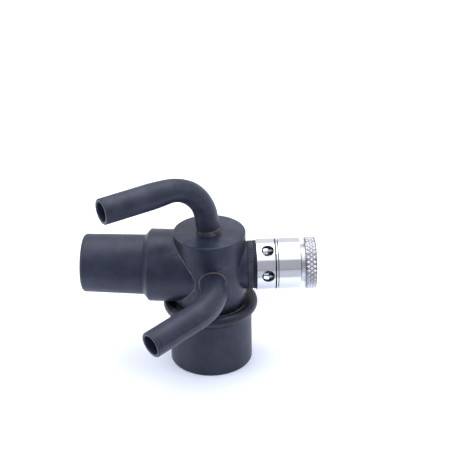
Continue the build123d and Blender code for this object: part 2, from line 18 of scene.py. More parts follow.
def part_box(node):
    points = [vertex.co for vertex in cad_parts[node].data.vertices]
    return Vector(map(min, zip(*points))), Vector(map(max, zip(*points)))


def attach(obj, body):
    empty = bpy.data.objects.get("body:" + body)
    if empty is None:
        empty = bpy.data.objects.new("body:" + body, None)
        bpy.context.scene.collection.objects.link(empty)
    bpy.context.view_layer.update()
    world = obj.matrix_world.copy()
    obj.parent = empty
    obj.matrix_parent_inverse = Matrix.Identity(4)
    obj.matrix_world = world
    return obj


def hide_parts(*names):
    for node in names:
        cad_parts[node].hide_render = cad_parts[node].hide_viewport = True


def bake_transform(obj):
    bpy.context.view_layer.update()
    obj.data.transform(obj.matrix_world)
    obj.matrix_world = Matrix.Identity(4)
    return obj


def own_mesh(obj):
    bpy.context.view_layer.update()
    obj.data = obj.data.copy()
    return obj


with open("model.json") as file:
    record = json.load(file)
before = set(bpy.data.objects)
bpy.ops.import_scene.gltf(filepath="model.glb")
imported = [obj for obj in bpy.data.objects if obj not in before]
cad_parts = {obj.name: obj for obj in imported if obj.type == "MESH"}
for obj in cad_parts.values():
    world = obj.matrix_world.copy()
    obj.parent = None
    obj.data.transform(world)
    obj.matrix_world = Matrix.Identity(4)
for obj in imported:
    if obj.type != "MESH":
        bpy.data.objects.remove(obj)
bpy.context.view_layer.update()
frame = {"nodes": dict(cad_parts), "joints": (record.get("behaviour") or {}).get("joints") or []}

LOG = logging.getLogger("manifold")
MM = 0.001
SHARP_ANGLE = math.radians(32)
WELD_GAP = 1e-7  # corners of a new mesh nearer than this become one
CAD_WELD_GAP = 1e-6  # the same for a CAD node's triangles
ON_AXIS = 1e-9  # a smaller radius counts as a point on the axis
TURNED_SEGMENTS = 128
ROUND_LIMIT = 0.49  # share of a side that one corner's round may take
Tree = bpy.types.NodeTree
Socket = bpy.types.NodeSocket
Piece = bpy.types.Object
Material = bpy.types.Material


class Body(Enum):
    """The bodies that pieces ride on."""

    MANIFOLD = "manifold"
    KNOB = "knob"
    CUP = "pressure_cup"


class Slot(Enum):
    """The record's finish names, passed with each new piece but not used."""

    RUBBER = "black_rubber"
    BAND = "black_band"
    CEMENT = "cement"
    ALUMINIUM = "turned_aluminium"
    STAINLESS = "stainless"


# ---------------------------------------------------------------- small tools
def linear(code: str) -> tuple[float, float, float, float]:
    """Turns an sRGB hex colour into a linear one.

    Args:
        code: six hex digits after a hash.

    Returns:
        Linear red, green, blue and an alpha of 1.
    """
    parts = [int(code[i : i + 2], 16) / 255 for i in (1, 3, 5)]
    low = [p / 12.92 if p <= 0.04045 else ((p + 0.055) / 1.055) ** 2.4 for p in parts]
    return (*low, 1.0)


def add_node(tree: Tree, kind: str, inputs: dict | None = None, **settings: object) -> bpy.types.Node:
    """Adds a node with its settings, values and links.

    Args:
        tree: the node tree it joins.
        kind: the node's type name.
        inputs: input name or number, with a value or the output socket that feeds it.
        **settings: properties of the node itself.

    Returns:
        The new node.
    """
    node = tree.nodes.new(kind)
    for name, value in settings.items():
        setattr(node, name, value)
    for key, value in (inputs or {}).items():
        if isinstance(value, Socket):
            tree.links.new(value, node.inputs[key])
        else:
            node.inputs[key].default_value = value
    return node


def flow(tree: Tree, kind: str, inputs: dict | None = None, **settings: object) -> Socket:
    """Adds a node as add_node does, and returns its first output."""
    return add_node(tree, kind, inputs, **settings).outputs[0]


def calculate(tree: Tree, operation: str, *values: object, clamp: bool = False) -> Socket:
    """Adds one step of arithmetic.

    Args:
        tree: the node tree it joins.
        operation: what is done with the values.
        *values: numbers, or the sockets that give them.
        clamp: True to hold the result between 0 and 1.

    Returns:
        The result.
    """
    return flow(tree, "ShaderNodeMath", dict(enumerate(values)), operation=operation, use_clamp=clamp)


def remap(
    tree: Tree, value: Socket, start: float, end: float, low: float = 0.0, high: float = 1.0, way: str = "LINEAR"
) -> Socket:
    """Maps one range of a value onto another and holds the result there.

    Args:
        tree: the node tree it joins.
        value: the socket that is mapped.
        start: the value that becomes low.
        end: the value that becomes high.
        low: the result at start.
        high: the result at end.
        way: how the result runs between them.

    Returns:
        The result.
    """
    sizes = {"Value": value, "From Min": start, "From Max": end, "To Min": low, "To Max": high}
    return flow(tree, "ShaderNodeMapRange", sizes, interpolation_type=way)


def mix(tree: Tree, share: Socket, first: object, second: object) -> Socket:
    """Mixes two colours, each a value or a socket; a share of 0 gives the first and 1 the second."""
    return add_node(tree, "ShaderNodeMix", {0: share, 6: first, 7: second}, data_type="RGBA").outputs[2]


def noise(tree: Tree, where: Socket, size: float, detail: float, roughness: float = 0.5) -> Socket:
    """Adds cloudy noise.

    Args:
        tree: the node tree it joins.
        where: the place it is read at.
        size: the size of its largest clouds.
        detail: how many finer layers it has.
        roughness: how strong the finer layers are.

    Returns:
        The noise, from 0 to 1.
    """
    sizes = {"Vector": where, "Scale": 1 / size, "Detail": detail, "Roughness": roughness}
    return add_node(tree, "ShaderNodeTexNoise", sizes).outputs["Fac"]


def bump(tree: Tree, height: Socket, strength: float, distance: float) -> Socket:
    """Turns a pattern into fine relief, and returns its normal."""
    return flow(tree, "ShaderNodeBump", {"Height": height, "Strength": strength, "Distance": distance})


def new_material(name: str) -> tuple[Material, Tree, Socket]:
    """Starts an empty node material.

    Args:
        name: the material's name, for what it is.

    Returns:
        The material, its node tree and its Object coordinates.
    """
    material = bpy.data.materials.new(name)
    material.use_nodes = True
    tree = material.node_tree
    tree.nodes.clear()
    return material, tree, add_node(tree, "ShaderNodeTexCoord").outputs["Object"]


def close_material(tree: Tree, look: dict[str, object]) -> None:
    """Ends a material in one surface that has the given inputs."""
    surface = flow(tree, "ShaderNodeBsdfPrincipled", look)
    add_node(tree, "ShaderNodeOutputMaterial", {"Surface": surface})


def mesh_object(name: str, points: list, faces: list, edges: list | None = None) -> Piece:
    """Makes an object from points and faces, its place in its mesh.

    Args:
        name: the piece's name.
        points: corner positions in the row frame.
        faces: lists of corner numbers.
        edges: pairs of corner numbers, for a bare line.

    Returns:
        The new object, linked to the scene.
    """
    mesh = bpy.data.meshes.new(name)
    mesh.from_pydata([tuple(p) for p in points], edges or [], faces)
    piece = bpy.data.objects.new(name, mesh)
    bpy.context.scene.collection.objects.link(piece)
    return piece


def finish_faces(piece: Piece, *materials: Material) -> None:
    """Turns a closed mesh's faces outwards, smooths all but its sharp edges and gives it its materials.

    Args:
        piece: the closed mesh.
        *materials: its finishes, in slot order.
    """
    work = bmesh.new()
    work.from_mesh(piece.data)
    bmesh.ops.remove_doubles(work, verts=work.verts, dist=WELD_GAP)
    bmesh.ops.recalc_face_normals(work, faces=work.faces)
    work.to_mesh(piece.data)
    work.free()
    for face in piece.data.polygons:
        face.use_smooth = True
    piece.data.set_sharp_from_angle(angle=SHARP_ANGLE)
    piece.data.materials.clear()
    for material in materials:
        piece.data.materials.append(material)


def rounded(corners: list[tuple[float, float]], radii: dict[int, float], steps: int = 5) -> list:
    """Rounds chosen corners of a closed outline.

    Args:
        corners: the outline's corners in order.
        radii: a round's radius for each corner number that has one.
        steps: straight pieces in each round.

    Returns:
        The outline's points, with a quadratic round at each chosen corner.
    """
    out: list = []
    for i, corner in enumerate(corners):
        here = Vector(corner)
        if i not in radii:
            out.append(tuple(here))
            continue
        before = Vector(corners[i - 1]) - here
        after = Vector(corners[(i + 1) % len(corners)]) - here
        cut = min(radii[i], before.length * ROUND_LIMIT, after.length * ROUND_LIMIT)
        start, end = here + before.normalized() * cut, here + after.normalized() * cut
        for k in range(steps + 1):
            t = k / steps
            out.append(tuple(start * (1 - t) ** 2 + here * 2 * t * (1 - t) + end * t**2))
    return out


def turned(name: str, centre: Vector, outline: list[tuple[float, float]], material: Material) -> Piece:
    """Turns a closed outline about an axis along X.

    Args:
        name: the piece's name.
        centre: a point on the axis, at station 0.
        outline: (station, radius) corners; a radius of 0 lies on the axis.
        material: the finish.

    Returns:
        The turned piece.
    """
    segments = TURNED_SEGMENTS
    points: list = []
    rings: list[list[int]] = []
    for station, radius in outline:
        if radius < ON_AXIS:
            rings.append([len(points)] * segments)
            points.append(centre + Vector((station, 0, 0)))
            continue
        rings.append([len(points) + k for k in range(segments)])
        for k in range(segments):
            angle = 2 * math.pi * k / segments
            points.append(centre + Vector((station, radius * math.cos(angle), radius * math.sin(angle))))
    faces: list = []
    for a, b in zip(rings, rings[1:] + rings[:1]):
        for k in range(segments):
            corners = [a[k], a[(k + 1) % segments], b[(k + 1) % segments], b[k]]
            kept = list(dict.fromkeys(corners))
            if len(kept) > 2:
                faces.append(kept)
    piece = mesh_object(name, points, faces)
    finish_faces(piece, material)
    return piece


def start_tree(name: str, inputs: dict[str, str]) -> tuple[Tree, bpy.types.Node]:
    """Starts a Geometry Nodes tree with a geometry input and named sizes.

    Args:
        name: the tree's name.
        inputs: each further input's name and kind of value.

    Returns:
        The tree and its group input node.
    """
    tree = bpy.data.node_groups.new(name, "GeometryNodeTree")
    tree.interface.new_socket("Geometry", in_out="INPUT", socket_type="NodeSocketGeometry")
    for label, kind in inputs.items():
        tree.interface.new_socket(label, in_out="INPUT", socket_type=f"NodeSocket{kind}")
    tree.interface.new_socket("Geometry", in_out="OUTPUT", socket_type="NodeSocketGeometry")
    return tree, add_node(tree, "NodeGroupInput")


def close_tree(tree: Tree, geometry: Socket, material: Socket) -> None:
    """Ends a tree in Realize Instances and Set Material.

    Args:
        tree: the tree.
        geometry: the socket whose geometry it ends in.
        material: the socket that gives the finish.
    """
    real = flow(tree, "GeometryNodeRealizeInstances", {"Geometry": geometry})
    dressed = flow(tree, "GeometryNodeSetMaterial", {"Geometry": real, "Material": material})
    add_node(tree, "NodeGroupOutput", {"Geometry": dressed})


def grow(piece: Piece, tree: Tree, values: dict[str, object]) -> Piece:
    """Runs a Geometry Nodes tree on a piece and keeps the result as a plain mesh.

    Args:
        piece: the object that the tree starts from.
        tree: the tree.
        values: a value for each named input.

    Returns:
        The same object with its new mesh and no modifier.
    """
    modifier = piece.modifiers.new(tree.name, "NODES")
    modifier.node_group = tree
    names = {item.name: item.identifier for item in tree.interface.items_tree if item.in_out == "INPUT"}
    for label, value in values.items():
        modifier[names[label]] = value
    depsgraph = bpy.context.evaluated_depsgraph_get()
    mesh = bpy.data.meshes.new_from_object(piece.evaluated_get(depsgraph), depsgraph=depsgraph)
    piece.modifiers.clear()
    piece.data = mesh
    return piece


def place(piece: Piece, body: Body, slot: Slot | None, *stands_for: str) -> Piece:
    """Makes a piece ride on a body and hides the CAD nodes it stands for.

    Args:
        piece: the finished piece.
        body: the body that carries it.
        slot: the record's finish, or None for a CAD node; not used.
        *stands_for: CAD nodes that it replaces.

    Returns:
        The piece.
    """
    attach(piece, body.value)
    if stands_for:
        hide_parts(*stands_for)
    LOG.info("%s rides on %s, %d faces", piece.name, body.value, len(piece.data.polygons))
    return piece


# ---------------------------------------------------------------- finishes
@dataclass(frozen=True)
class Smear:
    """A pale patch: rubbed-on cement or talc on most parts, a painted highlight on the sleeve. Its middle, its reach
    and how much it shows.
    """

    middle: tuple[float, float, float]
    reach: float
    amount: float


@dataclass(frozen=True)
class MouldedRubber:
    """Black antistatic rubber from a polished mould: a soft sheen, blue-grey bloom and faint mottling."""

    name: str
    colour: str
    bloom: str
    roughness: float = 0.46
    mottle: float = 7 * MM
    grain: float = 0.5 * MM
    streak: float = 0.0
    wipe: tuple[float, float, float] = (0.12, 1.0, 1.0)
    streak_above: float | None = None
    smears: tuple[Smear, ...] = ()
    # the smears' pale tone: cement, and on the sleeve painted highlight
    pale_tone: str = "#8a8688"

    def smear_and_highlight_mask(self, tree: Tree, where: Socket) -> Socket:
        """Adds up the smears, each broken by noise; on the sleeve they are painted highlights.

        Args:
            tree: the material's tree.
            where: Object coordinates.

        Returns:
            A mask from 0 to 1.
        """
        broken = remap(tree, noise(tree, where, 1.3 * MM, 5.0, 0.7), 0.42, 0.68)
        total: Socket | float = 0.0
        for smear in self.smears:
            ends = {0: where, 1: smear.middle}
            gap = add_node(tree, "ShaderNodeVectorMath", ends, operation="DISTANCE").outputs["Value"]
            fade = remap(tree, gap, smear.reach, smear.reach * 0.3, 0.0, smear.amount)
            total = calculate(tree, "MULTIPLY_ADD", fade, broken, total, clamp=True)
        return total

    def material(self) -> Material:
        """Builds the finish.

        Returns:
            The material.
        """
        material, tree, where = new_material(self.name)
        cloud = noise(tree, where, self.mottle, 5.0, 0.6)
        wiped = flow(tree, "ShaderNodeMapping", {"Vector": where, "Scale": self.wipe})
        lines = noise(tree, wiped, 0.9 * MM, 4.0)
        fine = noise(tree, where, self.grain, 3.0, 0.7)
        clear = remap(tree, lines, 0.42, 0.72, 0.0, self.streak)
        if self.streak_above is not None:
            height = add_node(tree, "ShaderNodeSeparateXYZ", {0: where}).outputs["Z"]
            level = remap(tree, height, self.streak_above - 0.15 * MM, self.streak_above)
            clear = calculate(tree, "MULTIPLY", clear, level)
        amount = calculate(tree, "ADD", remap(tree, cloud, 0.38, 0.66, 0.0, 0.7), clear, clamp=True)
        colour = mix(tree, amount, linear(self.colour), linear(self.bloom))
        rough = remap(tree, fine, 0.3, 0.7, self.roughness - 0.05, self.roughness + 0.07)
        # Smears mix in the pale tone: cement on some parts, painted highlight on the sleeve.
        if self.smears:
            smear_and_highlight = self.smear_and_highlight_mask(tree, where)
            colour = mix(tree, smear_and_highlight, colour, linear(self.pale_tone))
            rough = calculate(tree, "MULTIPLY_ADD", smear_and_highlight, 0.25, rough)
        look = {
            "Base Color": colour,
            "Roughness": rough,
            "Normal": bump(tree, fine, 0.24, 0.07 * MM),
            "IOR": 1.5,
            "Specular Tint": linear("#e5e7fb"),
        }
        close_material(tree, look)
        return material


@dataclass(frozen=True)
class DriedCement:
    """Rubber cement squeezed from a joint and left to dry: matte, tan grey, uneven."""

    name: str
    colour: str
    pale_tone: str

    def material(self) -> Material:
        """Builds the finish.

        Returns:
            The material.
        """
        material, tree, where = new_material(self.name)
        lumps = noise(tree, where, 1.6 * MM, 6.0)
        look = {
            "Base Color": mix(tree, lumps, linear(self.colour), linear(self.pale_tone)),
            "Roughness": 0.62,
            "Normal": bump(tree, lumps, 0.5, 0.1 * MM),
        }
        close_material(tree, look)
        return material


@dataclass(frozen=True)
class TurnedMetal:
    """Metal bright from the lathe: fine rings round the axis spread its reflections along it.

    Nearer to the valve's axis than the shade radius its colour darkens: painted shade, standing in for the shade
    inside bores, holes and knurl valleys.
    """

    name: str
    colour: str
    roughness: float
    ring: float = 0.35 * MM
    depth: float = 0.012 * MM
    axis_z: float = 0.0
    # painted shade: the colour nearer the axis, and the radii where it starts and fades out
    shade_r: float = 0.0
    unshaded_r: float = 0.1 * MM
    shade_colour: str = "#1c1c22"

    def material(self) -> Material:
        """Builds the finish, with its rings a little coarser than a real tool's feed, to show.

        Returns:
            The material.
        """
        material, tree, where = new_material(self.name)
        axes = add_node(tree, "ShaderNodeSeparateXYZ", {0: where}).outputs
        along = calculate(tree, "MULTIPLY", axes["X"], 1 / self.ring)
        feed = {"W": along, "Scale": 1.0, "Detail": 3.0, "Roughness": 0.7}
        rings = add_node(tree, "ShaderNodeTexNoise", feed, noise_dimensions="1D").outputs["Fac"]
        both = calculate(tree, "MULTIPLY", rings, noise(tree, where, 5 * MM, 4.0))
        rise = calculate(tree, "SUBTRACT", axes["Z"], self.axis_z)
        flat = flow(tree, "ShaderNodeCombineXYZ", {"X": axes["Y"], "Y": rise})
        radius = add_node(tree, "ShaderNodeVectorMath", {0: flat}, operation="LENGTH").outputs["Value"]
        # painted shade: the colour darkens nearer the valve's axis, for the shade in bores, holes and knurl valleys
        unshaded = remap(tree, radius, self.shade_r, self.unshaded_r)
        look = {
            "Base Color": mix(tree, unshaded, linear(self.shade_colour), linear(self.colour)),
            "Metallic": 1.0,
            "Roughness": remap(tree, both, 0.1, 0.45, self.roughness * 0.75, self.roughness * 1.4),
            "Normal": bump(tree, rings, 0.35, self.depth),
        }
        close_material(tree, look)
        return material


@dataclass(frozen=True)
class TurnedPlastic:
    """Plain turned plastic with a faint grain, for the valve seat."""

    name: str
    colour: str

    def material(self) -> Material:
        """Builds the finish.

        Returns:
            The material.
        """
        material, tree, where = new_material(self.name)
        relief = bump(tree, noise(tree, where, 0.4 * MM, 2.0), 0.1, 0.03 * MM)
        close_material(tree, {"Base Color": linear(self.colour), "Roughness": 0.4, "Normal": relief})
        return material


class Finishes:
    """Every finish of the manifold, each built once."""

    def __init__(self) -> None:
        """Builds the materials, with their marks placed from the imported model's own boxes."""
        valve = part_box("valve_body")
        axis_z, valve_r = (valve[0].z + valve[1].z) / 2, (valve[1].z - valve[0].z) / 2
        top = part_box("top_cap")[1].z
        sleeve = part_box("hose_sleeve")
        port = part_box("valve_port")
        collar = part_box("base_collar")
        # The sleeve's smears are painted highlights on its upper front.
        sleeve_highlights = (
            Smear((-13.5 * MM, -6 * MM, sleeve[1].z - 0.6 * MM), 4.5 * MM, 0.35),
            Smear((-12.0 * MM, -9 * MM, sleeve[1].z - 3.0 * MM), 3.0 * MM, 0.3),
        )
        collar_marks = (
            Smear((-12.5 * MM, -9.5 * MM, collar[1].z - 0.6 * MM), 4.5 * MM, 0.5),
            Smear((11.8 * MM, -8.0 * MM, collar[1].z), 3.4 * MM, 0.35),
        )
        port_marks = (Smear((port[1].x - 2.4 * MM, -4.5 * MM, port[0].z + 1.0 * MM), 3.2 * MM, 0.9),)
        chamber_marks = (
            Smear((-7 * MM, -11.5 * MM, top - 22 * MM), 5.0 * MM, 0.16),
            Smear((4 * MM, -13 * MM, top - 9 * MM), 4.0 * MM, 0.14),
        )
        rubber, hose_rubber = ("#11151f", "#272d3e"), ("#171c28", "#2b3143")
        # Compression-moulded antistatic rubber: a soft blue-grey sheen, wiped in upright strokes.
        self.chamber = MouldedRubber(
            "moulded_black_rubber", *rubber, roughness=0.4, streak=0.28, wipe=(1.0, 1.0, 0.08), smears=chamber_marks
        ).material()
        # The same rubber where nothing was rubbed: even, with cloudy bloom.
        self.rubber = MouldedRubber("plain_black_rubber", *hose_rubber).material()
        # The socket's thicker rubber: a little darker, marked by hoses pushed on and off.
        self.socket = MouldedRubber(
            "thick_black_rubber", "#141822", "#272c3b", streak=0.12, wipe=(1, 1, 0.1)
        ).material()
        # Hose rubber with pale smears near the joint: painted highlights on a soft sheen.
        self.sleeve = MouldedRubber(
            "highlight_smeared_black_rubber", *hose_rubber, roughness=0.41, smears=sleeve_highlights
        ).material()
        # Rubber rolled into a bead: a rounder, tighter highlight, with dried cement left on it.
        self.collar = MouldedRubber(
            "rolled_black_rubber", "#0d1017", "#20242f", roughness=0.43, smears=collar_marks
        ).material()
        # Rubber round the valve's port, with a pale patch of cement underneath.
        self.port = MouldedRubber("cemented_black_rubber", *rubber, smears=port_marks).material()
        # The lid, wiped with a cloth on its top only: darker and glossier, with fine strokes along X.
        self.cap = MouldedRubber(
            "wiped_black_rubber", "#0f131b", "#2d3348", roughness=0.32, streak=0.5, streak_above=top
        ).material()
        # Tubes dipped on a former: slightly paler, with a longer soft highlight.
        self.tube = MouldedRubber("dipped_black_rubber", "#191d28", "#2f3444", roughness=0.42, streak=0.16).material()
        # Lips and the port's bead in a paler rubber: painted highlight on their edges.
        self.rim = MouldedRubber("rim_highlight_black_rubber", "#23262f", "#3d404c", roughness=0.4).material()
        # Rubber inside a bore, near black and without gloss: painted shade, so it reads as a dark hole.
        self.bore = MouldedRubber("unlit_black_rubber", "#030305", "#07080b", roughness=0.6).material()
        # Soft nitrile rubber of washers and facings: near black and matt. The locking ring's groove faces take it
        # too, as painted shade.
        self.soft_black = MouldedRubber("nitrile_rubber_and_groove_shade", "#06070a", "#0d0f15", roughness=0.55).material()
        # Hard rubber rolled with small diamonds: their crests catch thin lights.
        self.band = MouldedRubber("hard_black_rubber", "#14171f", "#3a404c", roughness=0.34).material()
        # Rubber cement dried in a joint: a thin matt line, dark to tan.
        self.cement = DriedCement("dried_rubber_cement", "#1c1c22", "#706a6a").material()
        # Rubber edged with wiped cement: a pale, patchy lip. The patches are 2.2 mm across.
        self.lip = MouldedRubber(
            "cement_edged_black_rubber", "#22242b", "#6a6663", roughness=0.4, mottle=2.2 * MM, streak=0.45
        ).material()
        # Aluminium bright from the lathe, with painted shade inside its drilled holes: long clean highlights.
        self.aluminium = TurnedMetal(
            "turned_aluminium",
            "#dcdde1",
            0.15,
            axis_z=axis_z,
            shade_r=valve_r - 1.0 * MM,
            unshaded_r=valve_r - 0.2 * MM,
        ).material()
        # The same aluminium, every face skimmed, with no painted shade near the axis.
        self.bright_aluminium = TurnedMetal("skimmed_aluminium", "#dcdde1", 0.15, axis_z=axis_z).material()
        # Machined aluminium left off the tool: greyer, broader reflections.
        self.inner_aluminium = TurnedMetal("machined_aluminium", "#c9cad0", 0.3, axis_z=axis_z).material()
        # Rolled knurl: bright crests over grey valleys, the grey painted shade.
        self.knurl = TurnedMetal(
            "knurled_aluminium",
            "#dcdcdf",
            0.2,
            axis_z=axis_z,
            shade_r=valve_r - 0.42 * MM,
            unshaded_r=valve_r + 0.02 * MM,
            shade_colour="#64646a",
        ).material()
        # Drawn stainless wire and rod: a warmer grey than the aluminium.
        self.steel = TurnedMetal("drawn_stainless_steel", "#c9c8c6", 0.26, axis_z=axis_z).material()
        # Turned brass of the insert: a dull yellow, seen only from inside.
        self.brass = TurnedMetal("turned_brass", "#d8b873", 0.28, axis_z=axis_z).material()
        # Acetal turned for the seat: cream, satin, with a faint grain.
        self.plastic = TurnedPlastic("turned_acetal", "#d9d5c9").material()


# ---------------------------------------------------------------- shared trees
def knurl_tree() -> Tree:
    """Builds a ring of staggered diamond points round an axis along X, joined to the piece it starts from.

    Returns:
        The tree.
    """
    sizes = {"Centre": "Vector", "Radius": "Float", "Width": "Float", "Height": "Float"}
    tree, given = start_tree("diamond_knurl", {**sizes, "Around": "Int", "Rows": "Int", "Material": "Material"})
    get = given.outputs
    total = calculate(tree, "MULTIPLY", get["Around"], get["Rows"])
    number = flow(tree, "GeometryNodeInputIndex")
    share = calculate(tree, "DIVIDE", number, get["Around"])
    row = calculate(tree, "FLOOR", share)
    odd = calculate(tree, "MODULO", row, 2.0)
    column = calculate(tree, "MODULO", number, get["Around"])
    shifted = calculate(tree, "MULTIPLY_ADD", odd, 0.5, column)
    step = calculate(tree, "DIVIDE", 2 * math.pi, get["Around"])
    angle = calculate(tree, "MULTIPLY", shifted, step)
    cosine, sine = calculate(tree, "COSINE", angle), calculate(tree, "SINE", angle)
    outward = flow(tree, "ShaderNodeCombineXYZ", {"Y": cosine, "Z": sine})
    ring = flow(tree, "ShaderNodeVectorMath", {0: outward, "Scale": get["Radius"]}, operation="SCALE")
    row_width = calculate(tree, "DIVIDE", get["Width"], get["Rows"])
    centred = calculate(tree, "ADD", row, 0.5)
    along = flow(tree, "ShaderNodeCombineXYZ", {"X": calculate(tree, "MULTIPLY", centred, row_width)})
    local = flow(tree, "ShaderNodeVectorMath", {0: ring, 1: along}, operation="ADD")
    spot = flow(tree, "ShaderNodeVectorMath", {0: local, 1: get["Centre"]}, operation="ADD")
    dots = flow(tree, "GeometryNodePoints", {"Count": total, "Position": spot})
    cone = {"Vertices": 4, "Radius Top": 0.22, "Radius Bottom": 1.0, "Depth": 1.0}
    point = add_node(tree, "GeometryNodeMeshCone", cone).outputs["Mesh"]
    arc = calculate(tree, "MULTIPLY", get["Radius"], step)
    half_arc = calculate(tree, "MULTIPLY", arc, 0.5)
    size = flow(tree, "ShaderNodeCombineXYZ", {"X": row_width, "Y": half_arc, "Z": get["Height"]})
    turn = flow(tree, "FunctionNodeAlignRotationToVector", {"Vector": outward}, axis="Z", pivot_axis="X")
    spread = {"Points": dots, "Instance": point, "Rotation": turn, "Scale": size}
    joined = add_node(tree, "GeometryNodeJoinGeometry", {0: flow(tree, "GeometryNodeInstanceOnPoints", spread)})
    tree.links.new(get["Geometry"], joined.inputs[0])
    close_tree(tree, joined.outputs[0], get["Material"])
    return tree


def bead_tree() -> Tree:
    """Builds a bead of cement along a line, its thickness wandering by seeded noise.

    Returns:
        The tree.
    """
    sizes = {"Bead Radius": "Float", "Wander": "Float", "Lump": "Float", "Seed": "Float"}
    tree, given = start_tree("cement_bead", {**sizes, "Material": "Material"})
    get = given.outputs
    line = flow(tree, "GeometryNodeMeshToCurve", {"Mesh": get["Geometry"]})
    where = flow(tree, "GeometryNodeInputPosition")
    scale = calculate(tree, "DIVIDE", 1.0, get["Lump"])
    lumps = {"Vector": where, "W": get["Seed"], "Scale": scale, "Detail": 2.0}
    wander = add_node(tree, "ShaderNodeTexNoise", lumps, noise_dimensions="4D").outputs["Fac"]
    swing = remap(tree, wander, 0.3, 0.7, -1.0)
    factor = calculate(tree, "MULTIPLY_ADD", swing, get["Wander"], 1.0)
    thick = calculate(tree, "MULTIPLY", factor, get["Bead Radius"])
    ring = flow(tree, "GeometryNodeCurvePrimitiveCircle", {"Resolution": 10, "Radius": 1.0})
    sweep = {"Curve": line, "Profile Curve": ring, "Scale": thick, "Fill Caps": True}
    close_tree(tree, flow(tree, "GeometryNodeCurveToMesh", sweep), get["Material"])
    return tree


def coil_tree() -> Tree:
    """Builds a wire coil that runs along X from its first end.

    Returns:
        The tree.
    """
    sizes = {"Turns": "Float", "Coil Radius": "Float", "Length": "Float", "Wire Radius": "Float"}
    tree, given = start_tree("wire_coil", {"Start": "Vector", **sizes, "Material": "Material"})
    get = given.outputs
    coil = {
        "Resolution": 40,
        "Rotations": get["Turns"],
        "Start Radius": get["Coil Radius"],
        "End Radius": get["Coil Radius"],
        "Height": get["Length"],
    }
    helix = flow(tree, "GeometryNodeCurveSpiral", coil)
    ring = flow(tree, "GeometryNodeCurvePrimitiveCircle", {"Resolution": 12, "Radius": get["Wire Radius"]})
    wire = flow(tree, "GeometryNodeCurveToMesh", {"Curve": helix, "Profile Curve": ring, "Fill Caps": True})
    laying = {"Geometry": wire, "Translation": get["Start"], "Rotation": (0, math.pi / 2, 0)}
    laid = flow(tree, "GeometryNodeTransform", laying)
    close_tree(tree, flow(tree, "GeometryNodeSetShadeSmooth", {"Geometry": laid}), get["Material"])
    return tree


def welded_tree() -> Tree:
    """Joins a CAD node's loose triangles and smooths all but its sharp edges.

    Returns:
        The tree.
    """
    tree, given = start_tree("welded_and_smooth", {})
    loose = {"Geometry": given.outputs[0], "Distance": CAD_WELD_GAP}
    merged = flow(tree, "GeometryNodeMergeByDistance", loose)
    faces = flow(tree, "GeometryNodeSetShadeSmooth", {"Geometry": merged}, domain="FACE")
    bend = {0: flow(tree, "GeometryNodeInputMeshEdgeAngle"), 1: SHARP_ANGLE}
    sharp = flow(tree, "FunctionNodeCompare", bend, data_type="FLOAT", operation="GREATER_THAN")
    creases = {"Geometry": faces, "Selection": sharp, "Shade Smooth": False}
    edges = flow(tree, "GeometryNodeSetShadeSmooth", creases, domain="EDGE")
    add_node(tree, "NodeGroupOutput", {"Geometry": edges})
    return tree


